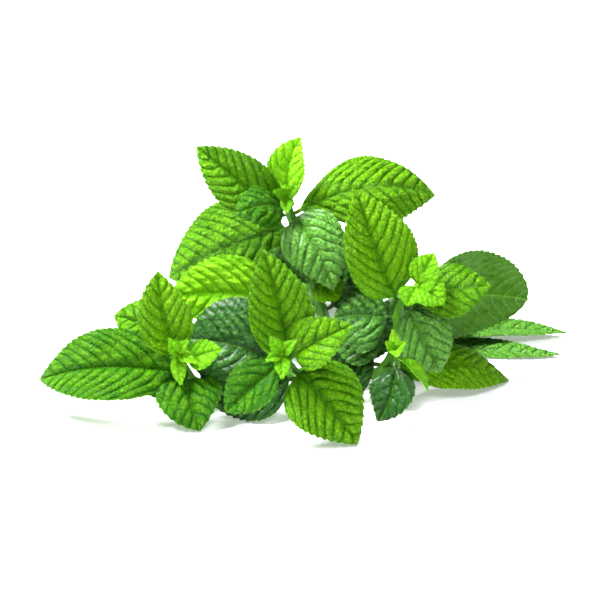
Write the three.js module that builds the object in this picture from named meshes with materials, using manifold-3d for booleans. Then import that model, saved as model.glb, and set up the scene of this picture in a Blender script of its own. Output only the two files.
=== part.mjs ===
// A cut mint sprig: one square main stem lying on a table, with five side shoots that carry
// opposite pairs of toothed leaves. Millimetres, +Z up, seen along +Y.
import * as THREE from "three";
import { mergeVertices } from "three/addons/utils/BufferGeometryUtils.js";
import Module from "manifold-3d";

const wasm = await Module();
wasm.setup();

// Driving dimensions.
const BLADE_THICKNESS = 0.8;
const STALK_LENGTH = 1.5;
const STALK_HALF_WIDTH = 0.8;
const JOINT_GAP = 0.35;
const WIDTH_PER_TOOTH = 3.4;
const TOOTH_DEPTH = 0.09;
const TOOTH_LEAN = 0.35;
const TIP_HALF_WIDTH = 0.35;
const STEM_CHAMFER = 0.3;
const NODE_SWELLING = 0.22;
const NODE_SWELLING_LENGTH = 3;
const BUD_RADIUS = 1.5;
const TIP_TEETH = 2;

// The sprig is laid out about a point under the heap, and then moved so that the middle of its
// bounding box stands on the origin.
const MIDDLE_OF_HEAP = [7.5, 19.8];

const COLOURS = {
  stem: 0x5f8f2c,
  mature_leaf: 0x2f7d24,
  young_leaf: 0x58b012,
  tip_leaf: 0x86cf2a,
};

// Each stem is a smooth curve through its points. "on" names the stem and the place on it,
// from 0 at the cut end to 1 at the tip, that a side stem grows from.
const STEMS = {
  main: {
    half: [2.3, 1.2],
    nodes: [0.15, 0.46, 0.62, 0.82, 0.93, 0.98],
    steps: 26,
    points: [
      [34, 92, 2.3], [32, 80, 2.3], [29, 66, 2.3], [25, 50, 2.45], [17, 26, 4.5],
      [9, 5, 8], [4, -12, 12], [-1, -25, 19], [-4.5, -34, 27], [-6, -38, 31.5],
    ],
  },
  left: {
    on: ["main", 0.62],
    half: [1.5, 1.0],
    nodes: [0.5, 0.8, 0.9, 0.97],
    steps: 14,
    points: [[-6, -2, 6.5], [-24, -9, 6], [-37, -15, 10], [-43, -18.5, 17.5], [-45, -20, 23]],
  },
  right: {
    on: ["main", 0.56],
    half: [1.9, 1.2],
    nodes: [0.42, 0.6, 0.78, 0.88, 0.96],
    steps: 18,
    points: [
      [20, 4, 6], [30, -1, 8], [35, -5, 17], [36.5, -9, 30], [37.5, -12, 41],
      [40.5, -14, 46.5], [42, -15, 48.5],
    ],
  },
  top: {
    on: ["main", 0.46],
    half: [1.8, 1.1],
    nodes: [0.42, 0.6, 0.88, 0.94, 0.98],
    steps: 18,
    points: [[13, 18, 14], [9, 10, 28], [5, 8, 42], [1, 9, 56], [-3.5, 10, 68], [-4.8, 10, 73.5]],
  },
  small: {
    on: ["right", 0.4],
    half: [1.1, 0.8],
    nodes: [0.72, 0.95],
    steps: 8,
    points: [[36, -14, 16], [36, -22, 22], [34.8, -27, 28]],
  },
  low: {
    on: ["main", 0.28],
    half: [1.4, 0.9],
    nodes: [0.3, 0.62, 0.95],
    steps: 8,
    points: [[37, 48, 3.2], [47, 45, 4], [54, 43, 7], [58, 42, 12]],
  },
};

// Each leaf grows from a node of a stem, [stem, node number], to its tip. "face" is the way its
// upper side looks, "arch" how far its rib bows that way and "sway" how far it bows sideways, as
// shares of its length. "fold" and "cup" bend the two halves up from the rib and down again.
const LEAVES = {
  left_leaf_outer: {
    from: ["left", 2], tip: [-98, -16, 12], face: [-0.15, -0.72, 0.68], width: 30,
    arch: 0.21, fold: 12, cup: 30, slot: "young_leaf",
  },
  left_leaf_upright: {
    from: ["left", 3], tip: [-52, -14, 55], face: [0.1, -0.9, 0.4], width: 22,
    arch: 0.06, sway: 0.07, fold: 19, cup: 30, stalk: 2.2, slot: "young_leaf",
  },
  left_leaf_lower: {
    from: ["left", 2], tip: [-36.7, -36, 0.8], face: [0.05, -0.72, 0.68], width: 26,
    arch: 0.1, sway: -0.04, fold: 14, cup: 30, stalk: 2, rise: 0.48, slot: "young_leaf",
  },
  left_leaf_small_right: {
    from: ["left", 3], tip: [-28.5, -26, 29], face: [0.1, -0.75, 0.65], width: 12,
    arch: 0.1, fold: 5, cup: 30, slot: "tip_leaf",
  },
  left_leaf_small_low: {
    from: ["left", 1], tip: [-57.7, -27, 11.4], face: [-0.3, -0.7, 0.65], width: 12,
    arch: 0.1, fold: 10, cup: 20, slot: "young_leaf",
  },
  left_leaf_back: {
    from: ["left", 1], tip: [-72.0, 7.0, 28.5], face: [-0.25, -0.8, 0.5], width: 28,
    arch: 0.08, sway: -0.12, stalk: 6, fold: 0, cup: 30, slot: "young_leaf",
  },
  inner_leaf_left: {
    from: ["main", 3], tip: [-41.5, -11, 26.5], face: [-0.1, -0.85, 0.5], width: 38,
    arch: 0.15, sway: -0.06, stalk: 4, fold: 0, cup: 30, blunt: 0.35, slot: "mature_leaf",
  },
  inner_leaf_low: {
    from: ["main", 3], tip: [-33.0, -21.5, 4.4], face: [-0.2, -0.85, 0.5], width: 24,
    arch: 0.1, fold: 0, cup: 20, stalk: 3, slot: "mature_leaf",
  },

  front_leaf_upright: {
    from: ["main", 4], tip: [-12.8, -28, 68.5], face: [0.15, -0.95, 0.25], width: 26.5,
    arch: 0.05, fold: 24, cup: 28, slot: "young_leaf",
  },
  front_leaf_lower: {
    from: ["main", 4], tip: [20.5, -47.3, 1.15], face: [0.05, -0.76, 0.65], width: 30,
    arch: 0.13, sway: 0.02, stalk: 1.5, fold: 6, cup: 30, rise: 0.52, slot: "young_leaf",
  },
  front_leaf_right: {
    from: ["main", 5], tip: [18.4, -38, 43.8], face: [-0.25, -0.8, 0.55], width: 20,
    arch: 0.1, fold: 12, cup: 30, rise: 0.45, slot: "young_leaf",
  },
  front_leaf_left: {
    from: ["main", 5], tip: [-26.7, -42, 11.4], face: [-0.2, -0.8, 0.5], width: 19,
    arch: 0.08, fold: 14, cup: 30, slot: "young_leaf",
  },

  right_leaf_upright: {
    from: ["right", 3], tip: [20.8, -6, 83.7], face: [0.25, -0.9, 0.35], width: 31,
    arch: 0.06, sway: 0.04, fold: 22, cup: 30, rise: 0.63, slot: "young_leaf",
  },
  right_leaf_lower: {
    from: ["right", 3], tip: [52, -22, 18], face: [-0.1, -0.85, 0.5], width: 23,
    arch: 0.08, fold: 6, cup: 35, slot: "mature_leaf",
  },
  right_leaf_outer: {
    from: ["right", 4], tip: [70, -16, 50], face: [-0.1, -0.75, 0.65], width: 22,
    arch: 0.08, fold: -8, cup: 20, slot: "young_leaf",
  },
  right_leaf_inner: {
    from: ["right", 2], tip: [12.8, -8, 34.3], face: [-0.2, -0.7, 0.7], width: 31,
    arch: 0.12, fold: -5, cup: 30, slot: "mature_leaf",
  },
  right_leaf_back: {
    from: ["right", 2], tip: [90, 20, 30.0], face: [-0.1, 0.97, 0.1], width: 39, blunt: 0.3,
    arch: 0.1, sway: -0.04, fold: 0, cup: 30, slot: "mature_leaf",
  },
  right_leaf_table: {
    from: ["right", 0], tip: [82, 6, 1.4], face: [0.1, -0.45, 0.9], width: 24,
    arch: 0.16, fold: -10, cup: 20, slot: "young_leaf",
  },
  middle_leaf_small: {
    from: ["top", 1], tip: [14.4, -3.0, 39.2], face: [0.2, -0.85, 0.5], width: 14,
    arch: 0.1, fold: 0, cup: 20, slot: "young_leaf",
  },
  inner_leaf_dark: {
    from: ["right", 0], tip: [14.2, -5.0, 14.0], face: [0, -0.85, 0.5], width: 25,
    arch: 0.08, stalk: 1.5, fold: 0, cup: 20, slot: "mature_leaf",
  },
  inner_leaf_middle: {
    from: ["right", 1], tip: [12.2, -3.0, 22.7], face: [0, -0.7, 0.7], width: 22,
    arch: 0.1, stalk: 1.5, fold: 0, cup: 20, slot: "mature_leaf",
  },

  inner_leaf_shade: {
    from: ["main", 2], tip: [47, 17, 31], face: [0, -0.85, 0.5], width: 20,
    arch: 0.06, fold: 0, cup: 20, slot: "mature_leaf",
  },

  small_leaf_hanging: {
    from: ["small", 0], tip: [28.4, -32, 2.8], face: [-0.3, -0.9, 0.35], width: 18,
    arch: 0.08, sway: 0.1, stalk: 0.6, fold: 8, cup: 30, rise: 0.55, slot: "mature_leaf",
  },
  small_leaf_right: {
    from: ["small", 1], tip: [47.2, -28, 13], face: [0.7, -0.3, 0.65], width: 8,
    arch: 0.12, fold: 10, cup: 10, slot: "tip_leaf",
  },

  top_leaf_left: {
    from: ["top", 3], tip: [-38.8, 15, 94.0], face: [-0.2, -0.9, 0.35], width: 24,
    arch: 0.06, fold: 20, cup: 20, slot: "young_leaf",
  },
  top_leaf_hanging: {
    from: ["top", 3], tip: [12.4, -6, 44.5], face: [-0.1, -0.8, 0.55], width: 25,
    arch: 0.14, sway: 0.06, fold: 4, cup: 30, rise: 0.47, slot: "mature_leaf",
  },
  top_leaf_upright: {
    from: ["top", 4], tip: [0.4, 17, 97], face: [-0.3, -0.9, 0.2], width: 17,
    arch: 0.05, sway: 0.13, fold: 20, cup: 10, stalk: 2, slot: "tip_leaf",
  },
  top_leaf_small: {
    from: ["top", 4], tip: [-24.4, -6.0, 74.7], face: [-0.1, -0.8, 0.6], width: 19,
    arch: 0.2, fold: -10, cup: 20, slot: "young_leaf",
  },
  top_leaf_right: {
    from: ["top", 3], tip: [52, 22, 72.6], face: [0, -0.75, 0.65], width: 31,
    arch: 0.17, sway: 0.05, fold: -14, cup: 20, rise: 0.95, slot: "young_leaf",
  },
  top_leaf_broad: {
    from: ["top", 2], tip: [-52.4, 30.0, 35.3], face: [-0.15, -0.93, 0.35], width: 38,
    arch: 0.05, sway: -0.03, fold: -12, cup: 20, slot: "young_leaf",
  },
  middle_leaf_bright: {
    from: ["top", 0], tip: [-50.8, 3, 37.5], face: [-0.05, -0.93, 0.35], width: 30,
    arch: 0.04, sway: -0.08, stalk: 16, fold: 0, cup: 20, slot: "tip_leaf",
  },
  middle_leaf_dark: {
    from: ["top", 1], tip: [-10.5, 1, 58], face: [0, -0.93, 0.35], width: 23,
    arch: 0.08, fold: 0, cup: 20, slot: "mature_leaf",
  },
  middle_leaf_right: {
    from: ["top", 0], tip: [34, 12, 51.0], face: [0, -0.9, 0.4], width: 21,
    arch: 0.06, fold: 0, cup: 20, slot: "mature_leaf",
  },

  low_leaf_far: {
    from: ["low", 1], tip: [112.7, 52, 1.9], face: [0, -0.1, 1], width: 18,
    arch: 0.04, fold: 10, cup: 10, slot: "mature_leaf",
  },
  low_leaf_near: {
    from: ["low", 1], tip: [106, 30, 1.9], face: [0, -0.1, 1], width: 17,
    arch: -0.02, fold: 8, cup: 10, slot: "mature_leaf",
  },

  back_leaf_right: {
    from: ["main", 0], tip: [66, 84, 4], face: [0.2, 0.3, 0.9], width: 25,
    arch: 0.14, fold: 0, cup: 25, slot: "mature_leaf",
  },
  back_leaf_left: {
    from: ["main", 0], tip: [-14, 84, 3], face: [-0.2, 0.3, 0.9], width: 26,
    arch: 0.16, fold: 0, cup: 25, slot: "mature_leaf",
  },
  back_leaf_low: {
    from: ["main", 1], tip: [-34, 38, 6], face: [-0.3, 0.5, 0.8], width: 26,
    arch: 0.18, fold: 0, cup: 25, slot: "mature_leaf",
  },
  back_leaf_high: {
    from: ["top", 1], tip: [34, 54, 46], face: [0.1, 0.6, 0.75], width: 24,
    arch: 0.1, fold: 8, cup: 25, slot: "young_leaf",
  },
  back_leaf_middle: {
    from: ["top", 0], tip: [-24, 50, 32], face: [-0.3, 0.6, 0.7], width: 25,
    arch: 0.12, fold: 6, cup: 25, slot: "mature_leaf",
  },
};

// The leaves just opening at the tip of each stem, grown together with its bud.
const TIPS = {
  left: [
    { tip: [-48, -25, 33], face: [0.3, -0.9, 0.3], width: 5.5 },
    { tip: [-41, -24, 32], face: [-0.3, -0.9, 0.3], width: 4.5 },
    { tip: [-43.8, -28, 15.5], face: [0, -0.9, 0.4], width: 6 },
    { tip: [-38, -27, 24], face: [0.2, -0.8, 0.6], width: 5 },
  ],
  front: [
    { tip: [-10.6, -42, 41], face: [0.2, -0.9, 0.2], width: 5.5 },
    { tip: [-6.3, -48, 27.4], face: [0, -0.8, 0.6], width: 6 },
    { tip: [-1.5, -43, 40], face: [-0.4, -0.8, 0.3], width: 5 },
    { tip: [-12, -45, 33], face: [-0.2, -0.8, 0.6], width: 4.5 },
  ],
  right: [
    { tip: [49, -14, 62], face: [-0.3, -0.9, 0.3], width: 12 },
    { tip: [52.5, -23, 45.7], face: [-0.1, -0.7, 0.7], width: 13, arch: 0.15 },
    { tip: [50, -19, 54], face: [-0.2, -0.8, 0.5], width: 8 },
    { tip: [39, -22, 44.5], face: [-0.4, -0.8, 0.5], width: 10.5 },
  ],
  top: [
    { tip: [-10, 4, 80], face: [0.2, -0.8, 0.5], width: 5 },
    { tip: [-1, 5, 82], face: [-0.3, -0.9, 0.2], width: 5 },
    { tip: [-5, 2, 72], face: [0, -0.8, 0.6], width: 5 },
  ],
  small: [
    { tip: [31, -30, 33.5], face: [0.2, -0.8, 0.5], width: 4.5 },
    { tip: [38, -31, 34], face: [-0.3, -0.8, 0.4], width: 4.5 },
    { tip: [35, -35, 30], face: [0, -0.8, 0.6], width: 4.5 },
    { tip: [34, -24, 36], face: [0, 0.8, 0.5], width: 4 },
  ],
  low: [
    { tip: [62, 46, 20], face: [-0.6, -0.6, 0.5], width: 5 },
    { tip: [61, 37, 20], face: [-0.6, 0.6, 0.5], width: 5 },
    { tip: [66, 41, 17], face: [-0.6, 0, 0.8], width: 5 },
  ],
};

const STALK_STATIONS = 2;
const HALF_WIDTHS = [-1, -0.5, 0, 0.5, 1];

const vector = (p) => new THREE.Vector3(...p);

// A side stem's curve starts on the axis of the stem that it grows from.
const curves = {};
function curveOf(name) {
  if (!curves[name]) {
    const { on, points } = STEMS[name];
    const start = on ? [curveOf(on[0]).getPointAt(on[1])] : [];
    curves[name] = new THREE.CatmullRomCurve3([...start, ...points.map(vector)], false, "centripetal");
  }
  return curves[name];
}

// Half the width across the flats of a stem, which is even at first and tapers to its tip.
function halfOf(name, u) {
  const [thick, thin] = STEMS[name].half;
  return thick + (thin - thick) * Math.max((u - 0.3) / 0.7, 0);
}

// How far along its own curve a side stem is clear of the stem that it leaves at a slant.
function clearOf(name) {
  const [parent, at] = STEMS[name].on;
  const slant = curveOf(name).getTangentAt(0.06).angleTo(curveOf(parent).getTangentAt(at));
  const across = 1.25 * (halfOf(parent, at) + halfOf(name, 0) * Math.abs(Math.cos(slant))) + JOINT_GAP;
  return across / Math.sin(slant);
}

// Joins rings of points into one closed geometry, with a flat end on the first and the last.
function closedRings(rings) {
  const count = rings[0].length;
  const position = rings.flat().flatMap((p) => p.toArray());
  const index = [];
  for (let i = 0; i + 1 < rings.length; i++) {
    for (let j = 0; j < count; j++) {
      const [a, b] = [i * count + j, i * count + ((j + 1) % count)];
      index.push(a, b + count, b, a, a + count, b + count);
    }
  }
  const last = (rings.length - 1) * count;
  for (let j = 1; j + 1 < count; j++) {
    index.push(0, j, j + 1, last, last + j + 1, last + j);
  }
  const geometry = new THREE.BufferGeometry();
  geometry.setAttribute("position", new THREE.Float32BufferAttribute(position, 3));
  geometry.setIndex(index);
  return geometry;
}

// A square stem with chamfered corners, which swells a little at its nodes.
function stemGeometry(name) {
  const { on, nodes, steps } = STEMS[name];
  const curve = curveOf(name);
  const length = curve.getLength();
  const from = on ? clearOf(name) / length : 0;
  const rings = [];
  const up = new THREE.Vector3(0, 0, 1);
  for (let i = 0; i <= steps; i++) {
    const u = from + ((1 - from) * i) / steps;
    const along = curve.getTangentAt(u);
    up.addScaledVector(along, -up.dot(along)).normalize();
    const side = new THREE.Vector3().crossVectors(along, up);
    const near = (node) => Math.exp(-((((u - node) * length) / NODE_SWELLING_LENGTH) ** 2));
    const swell = on ? 1 + NODE_SWELLING * Math.max(...nodes.map(near)) : 1;
    const half = halfOf(name, u) * swell;
    const cut = half * (1 - STEM_CHAMFER);
    const corners = [
      [half, cut], [cut, half], [-cut, half], [-half, cut],
      [-half, -cut], [-cut, -half], [cut, -half], [half, -cut],
    ];
    const centre = curve.getPointAt(u);
    rings.push(corners.map(([x, y]) => centre.clone().addScaledVector(side, x).addScaledVector(up, y)));
  }
  return closedRings(rings);
}

// How wide half a blade is at s, from 0 at the stalk to 1 at the tip, as a share of its widest.
function outline(s, { rise = 0.68, blunt = 0 }) {
  const fall = 0.92 * (1 - blunt);
  const widest = rise / (rise + fall);
  return (s ** rise * (1 - s) ** fall) / (widest ** rise * (1 - widest) ** fall);
}

// The two ends of a leaf's rib and the frame that its blade is built on.
function ribOf(leaf) {
  const tip = vector(leaf.tip);
  const base = vector(leaf.base ?? [0, 0, 0]);
  if (leaf.from) {
    const [stem, number] = leaf.from;
    const u = STEMS[stem].nodes[number];
    const out = tip.clone().sub(curveOf(stem).getPointAt(u));
    const along = curveOf(stem).getTangentAt(u);
    out.addScaledVector(along, -out.dot(along)).normalize();
    const clear = halfOf(stem, u) * (1 + NODE_SWELLING) * Math.SQRT2 + JOINT_GAP;
    base.copy(curveOf(stem).getPointAt(u)).addScaledVector(out, clear);
  }
  const chord = tip.clone().sub(base);
  const face = vector(leaf.face);
  face.addScaledVector(chord, -face.dot(chord) / chord.lengthSq()).normalize();
  const side = new THREE.Vector3().crossVectors(face, chord).normalize();
  return { base, chord, face, side, length: chord.length() };
}

function ribPoint({ base, chord, face, side, length }, leaf, t) {
  const bow = 4 * t * (1 - t) * length;
  return base.clone()
    .addScaledVector(chord, t)
    .addScaledVector(face, bow * leaf.arch)
    .addScaledVector(side, bow * (leaf.sway ?? 0));
}

// A toothed blade on a short stalk, as a closed geometry: alike triangles on both faces.
function leafGeometry(leaf, teeth) {
  const rib = ribOf(leaf);
  const stalk = Math.min((leaf.stalk ?? STALK_LENGTH) / rib.length, 0.3);
  const rows = [];
  for (let i = 0; i < STALK_STATIONS; i++) {
    rows.push({ t: (stalk * i) / STALK_STATIONS, half: STALK_HALF_WIDTH, lean: 0 });
  }
  for (let k = 0; k < teeth; k++) {
    for (const [part, depth, lean] of [[0.06, TOOTH_DEPTH, 0], [0.72, 0, TOOTH_LEAN]]) {
      const s = (k + part) / teeth;
      const half = Math.max((leaf.width / 2) * outline(s, leaf) * (1 - depth), STALK_HALF_WIDTH);
      rows.push({ t: stalk + (1 - stalk) * s, half, lean: (lean / teeth) * rib.length });
    }
  }
  rows.push({ t: 1, half: TIP_HALF_WIDTH, lean: 0 });

  const fold = THREE.MathUtils.degToRad(leaf.fold);
  const cup = THREE.MathUtils.degToRad(leaf.cup);
  const position = [];
  for (const { t, half, lean } of rows) {
    const centre = ribPoint(rib, leaf, t);
    const along = ribPoint(rib, leaf, t + 0.01).sub(ribPoint(rib, leaf, t - 0.01)).normalize();
    const side = new THREE.Vector3().crossVectors(rib.face, along).normalize();
    const up = new THREE.Vector3().crossVectors(along, side);
    for (const v of HALF_WIDTHS) {
      const bends = Math.abs(v) < 0.75 ? [0.25] : [0.25, 0.75];
      let [out, rise] = [0, 0];
      for (const middle of bends.slice(0, Math.round(Math.abs(v) * 2))) {
        const angle = fold + cup * (0.5 - middle);
        out += 0.5 * half * Math.cos(angle);
        rise += 0.5 * half * Math.sin(angle);
      }
      const point = centre.clone()
        .addScaledVector(side, Math.sign(v) * out)
        .addScaledVector(up, rise)
        .addScaledVector(along, lean * v * v);
      for (const face of [1, -1]) {
        position.push(...point.clone().addScaledVector(up, (face * BLADE_THICKNESS) / 2).toArray());
      }
    }
  }

  const columns = HALF_WIDTHS.length;
  const top = (i, j) => 2 * (i * columns + j);
  const bottom = (i, j) => top(i, j) + 1;
  const index = [];
  const quad = (a, b, c, d) => index.push(a, b, c, a, c, d);
  const last = rows.length - 1;
  for (let i = 0; i < last; i++) {
    for (let j = 0; j + 1 < columns; j++) {
      quad(top(i, j), top(i + 1, j), top(i + 1, j + 1), top(i, j + 1));
      index.push(bottom(i, j), bottom(i + 1, j + 1), bottom(i + 1, j));
      index.push(bottom(i, j), bottom(i, j + 1), bottom(i + 1, j + 1));
    }
    quad(bottom(i, 0), bottom(i + 1, 0), top(i + 1, 0), top(i, 0));
    const j = columns - 1;
    quad(bottom(i, j), top(i, j), top(i + 1, j), bottom(i + 1, j));
  }
  for (let j = 0; j + 1 < columns; j++) {
    quad(bottom(0, j), top(0, j), top(0, j + 1), bottom(0, j + 1));
    quad(bottom(last, j), bottom(last, j + 1), top(last, j + 1), top(last, j));
  }
  const geometry = new THREE.BufferGeometry();
  geometry.setAttribute("position", new THREE.Float32BufferAttribute(position, 3));
  geometry.setIndex(index);
  return geometry;
}

function solidOf(geometry) {
  const vertProperties = geometry.attributes.position.array;
  const triVerts = new Uint32Array(geometry.index.array);
  return new wasm.Manifold(new wasm.Mesh({ numProp: 3, vertProperties, triVerts }));
}

// The bud at the end of a stem, joined with the small blades that open round it.
function tipGeometry(name, leaves) {
  const stem = name === "front" ? "main" : name;
  const along = curveOf(stem).getTangentAt(1);
  const centre = curveOf(stem).getPointAt(1).addScaledVector(along, BUD_RADIUS + JOINT_GAP);
  const round = new THREE.IcosahedronGeometry(BUD_RADIUS, 1);
  const bud = mergeVertices(round.deleteAttribute("normal").deleteAttribute("uv"));
  let solid = solidOf(bud.translate(centre.x, centre.y, centre.z));
  for (const leaf of leaves) {
    const blade = { base: centre.toArray(), arch: 0.1, fold: 12, cup: 30, ...leaf };
    solid = solid.add(solidOf(leafGeometry(blade, TIP_TEETH)));
  }
  const [whole] = solid.decompose().sort((a, b) => b.volume() - a.volume());
  const { vertProperties, triVerts } = whole.getMesh();
  const geometry = new THREE.BufferGeometry();
  geometry.setAttribute("position", new THREE.BufferAttribute(vertProperties, 3));
  geometry.setIndex(new THREE.BufferAttribute(triVerts, 1));
  return geometry;
}

function mesh(name, geometry, slot) {
  const material = new THREE.MeshStandardMaterial({ color: COLOURS[slot], roughness: 0.5, metalness: 0 });
  geometry.computeVertexNormals();
  const made = new THREE.Mesh(geometry, material);
  made.name = name;
  return made;
}

const sprig = new THREE.Group();
sprig.position.set(-MIDDLE_OF_HEAP[0], -MIDDLE_OF_HEAP[1], 0);
for (const name of Object.keys(STEMS)) {
  sprig.add(mesh(name + "_stem", stemGeometry(name), "stem"));
}
for (const [name, leaf] of Object.entries(LEAVES)) {
  const teeth = Math.round(THREE.MathUtils.clamp(leaf.width / WIDTH_PER_TOOTH, 4, 7));
  sprig.add(mesh(name, leafGeometry(leaf, teeth), leaf.slot));
}
for (const [name, leaves] of Object.entries(TIPS)) {
  sprig.add(mesh(name + "_tip_leaves", tipGeometry(name, leaves), "tip_leaf"));
}

export default sprig;
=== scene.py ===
# %% [markdown]
# A mint sprig is one living thing, so nothing here is bolted on: every leaf and side stem grows
# out of the stem it sits on. The plain model already has each leaf and stem where it belongs.
# This lesson gives them what makes mint look like mint: quilted blades with sunken veins, saw
# teeth, square stems, and greens that run from nearly blue to nearly yellow.

# %% Load the plain model
import math

import bpy
import numpy as np
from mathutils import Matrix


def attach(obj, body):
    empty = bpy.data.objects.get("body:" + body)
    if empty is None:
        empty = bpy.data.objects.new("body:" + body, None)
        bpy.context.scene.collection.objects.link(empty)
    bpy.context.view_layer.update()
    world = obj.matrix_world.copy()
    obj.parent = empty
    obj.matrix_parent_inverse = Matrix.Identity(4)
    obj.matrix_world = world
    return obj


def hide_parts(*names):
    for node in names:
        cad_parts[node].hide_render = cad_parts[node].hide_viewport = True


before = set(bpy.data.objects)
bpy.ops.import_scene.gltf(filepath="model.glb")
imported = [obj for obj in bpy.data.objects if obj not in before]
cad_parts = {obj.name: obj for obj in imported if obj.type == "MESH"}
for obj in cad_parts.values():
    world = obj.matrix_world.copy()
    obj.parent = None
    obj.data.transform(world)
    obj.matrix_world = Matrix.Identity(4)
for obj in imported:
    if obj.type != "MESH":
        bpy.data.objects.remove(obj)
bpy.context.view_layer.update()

# %% [markdown]
# The photo looks slightly down on the heap from the front, from far enough away that near and far
# leaves keep nearly the same scale. A camera is easiest to set up from the angle it looks down at
# and its distance from a point in the middle of the heap.

# %% Camera
MM = 0.001
MIDDLE_OF_HEAP = np.array([7.5, 19.8, 0.0])

LOOKED_AT = np.array([0.0, 0.0, 38.4])
CAMERA_ELEVATION = math.radians(22)
CAMERA_DISTANCE = 560
PIXEL_AT_MIDDLE = 0.38
PHOTO_WIDTH = 600
SENSOR_WIDTH = 36

camera = bpy.data.objects.new("camera", bpy.data.cameras.new("camera"))
bpy.context.scene.collection.objects.link(camera)
bpy.context.scene.camera = camera
backwards = np.array([0, -math.cos(CAMERA_ELEVATION), math.sin(CAMERA_ELEVATION)])
camera.location = (LOOKED_AT + CAMERA_DISTANCE * backwards - MIDDLE_OF_HEAP) * MM
camera.rotation_euler = (math.radians(90) - CAMERA_ELEVATION, 0, 0)
camera.data.sensor_width = SENSOR_WIDTH
camera.data.lens = SENSOR_WIDTH * CAMERA_DISTANCE / PIXEL_AT_MIDDLE / PHOTO_WIDTH
camera.data.clip_start = 0.01
print("Camera at", [round(c, 3) for c in camera.location], "lens", round(camera.data.lens, 1))

# %% [markdown]
# A cut sprig has one main stem, and side shoots that leave it where its leaves do. The heap is
# easiest to describe from there: each stem is a smooth curve through a few points, and knows
# where on its parent it begins. All sizes are millimetres, as on the plain model.

# %% Where the stems run
STEMS = {
    "main": {
        "half": (2.3, 1.2),
        "nodes": (0.15, 0.46, 0.62, 0.82, 0.93, 0.98),
        "points": [
            (34, 92, 2.3), (32, 80, 2.3), (29, 66, 2.3), (25, 50, 2.45), (17, 26, 4.5),
            (9, 5, 8), (4, -12, 12), (-1, -25, 19), (-4.5, -34, 27), (-6, -38, 31.5),
        ],
    },
    "left": {
        "on": ("main", 0.62),
        "half": (1.5, 1.0),
        "nodes": (0.5, 0.8, 0.9, 0.97),
        "points": [(-6, -2, 6.5), (-24, -9, 6), (-37, -15, 10), (-43, -18.5, 17.5), (-45, -20, 23)],
    },
    "right": {
        "on": ("main", 0.56),
        "half": (1.9, 1.2),
        "nodes": (0.42, 0.6, 0.78, 0.88, 0.96),
        "points": [
            (20, 4, 6), (30, -1, 8), (35, -5, 17), (36.5, -9, 30), (37.5, -12, 41),
            (40.5, -14, 46.5), (42, -15, 48.5),
        ],
    },
    "top": {
        "on": ("main", 0.46),
        "half": (1.8, 1.1),
        "nodes": (0.42, 0.6, 0.88, 0.94, 0.98),
        "points": [
            (13, 18, 14), (9, 10, 28), (5, 8, 42), (1, 9, 56), (-3.5, 10, 68), (-4.8, 10, 73.5),
        ],
    },
    "small": {
        "on": ("right", 0.4),
        "half": (1.1, 0.8),
        "nodes": (0.72, 0.95),
        "points": [(36, -14, 16), (36, -22, 22), (34.8, -27, 28)],
    },
    "low": {
        "on": ("main", 0.28),
        "half": (1.4, 0.9),
        "nodes": (0.3, 0.62, 0.95),
        "points": [(37, 48, 3.2), (47, 45, 4), (54, 43, 7), (58, 42, 12)],
    },
}


class Curve:
    """A smooth curve through points, read by how far along its length a place is, from 0 to 1."""

    def __init__(self, points, samples=60):
        points = np.array(points, float)
        ends = np.vstack([2 * points[0] - points[1], points, 2 * points[-1] - points[-2]])
        gaps = np.sum(np.diff(ends, axis=0) ** 2, axis=1) ** 0.25
        t = np.linspace(0, 1, samples, endpoint=False)[:, None]
        places = []
        for k in range(len(points) - 1):
            p0, p1, p2, p3 = ends[k : k + 4]
            d0, d1, d2 = gaps[k : k + 3]
            leave = ((p1 - p0) / d0 - (p2 - p0) / (d0 + d1) + (p2 - p1) / d1) * d1
            arrive = ((p2 - p1) / d1 - (p3 - p1) / (d1 + d2) + (p3 - p2) / d2) * d1
            cube = 2 * (p1 - p2) + leave + arrive
            square = 3 * (p2 - p1) - 2 * leave - arrive
            places.append(p1 + t * (leave + t * (square + t * cube)))
        self.places = np.vstack(places + [points[-1:]])
        steps = np.linalg.norm(np.diff(self.places, axis=0), axis=1)
        self.reached = np.concatenate([[0], np.cumsum(steps)])
        self.length = self.reached[-1]

    def at(self, u):
        along = np.asarray(u) * self.length
        return np.stack([np.interp(along, self.reached, axis) for axis in self.places.T], -1)

    def direction(self, u):
        u = np.asarray(u, float)
        step = self.at(np.minimum(u + 0.003, 1)) - self.at(np.maximum(u - 0.003, 0))
        return step / np.linalg.norm(step, axis=-1, keepdims=True)


curves = {}
for name, stem in STEMS.items():
    start = [curves[stem["on"][0]].at(stem["on"][1])] if "on" in stem else []
    curves[name] = Curve(start + stem["points"])
    print("The", name, "stem is", round(curves[name].length), "mm long")


def half_of(name, u):
    """Half the width of a stem across its flats: even at first, then tapering to the tip."""
    thick, thin = STEMS[name]["half"]
    return thick + (thin - thick) * np.maximum((np.asarray(u) - 0.3) / 0.7, 0)
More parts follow.
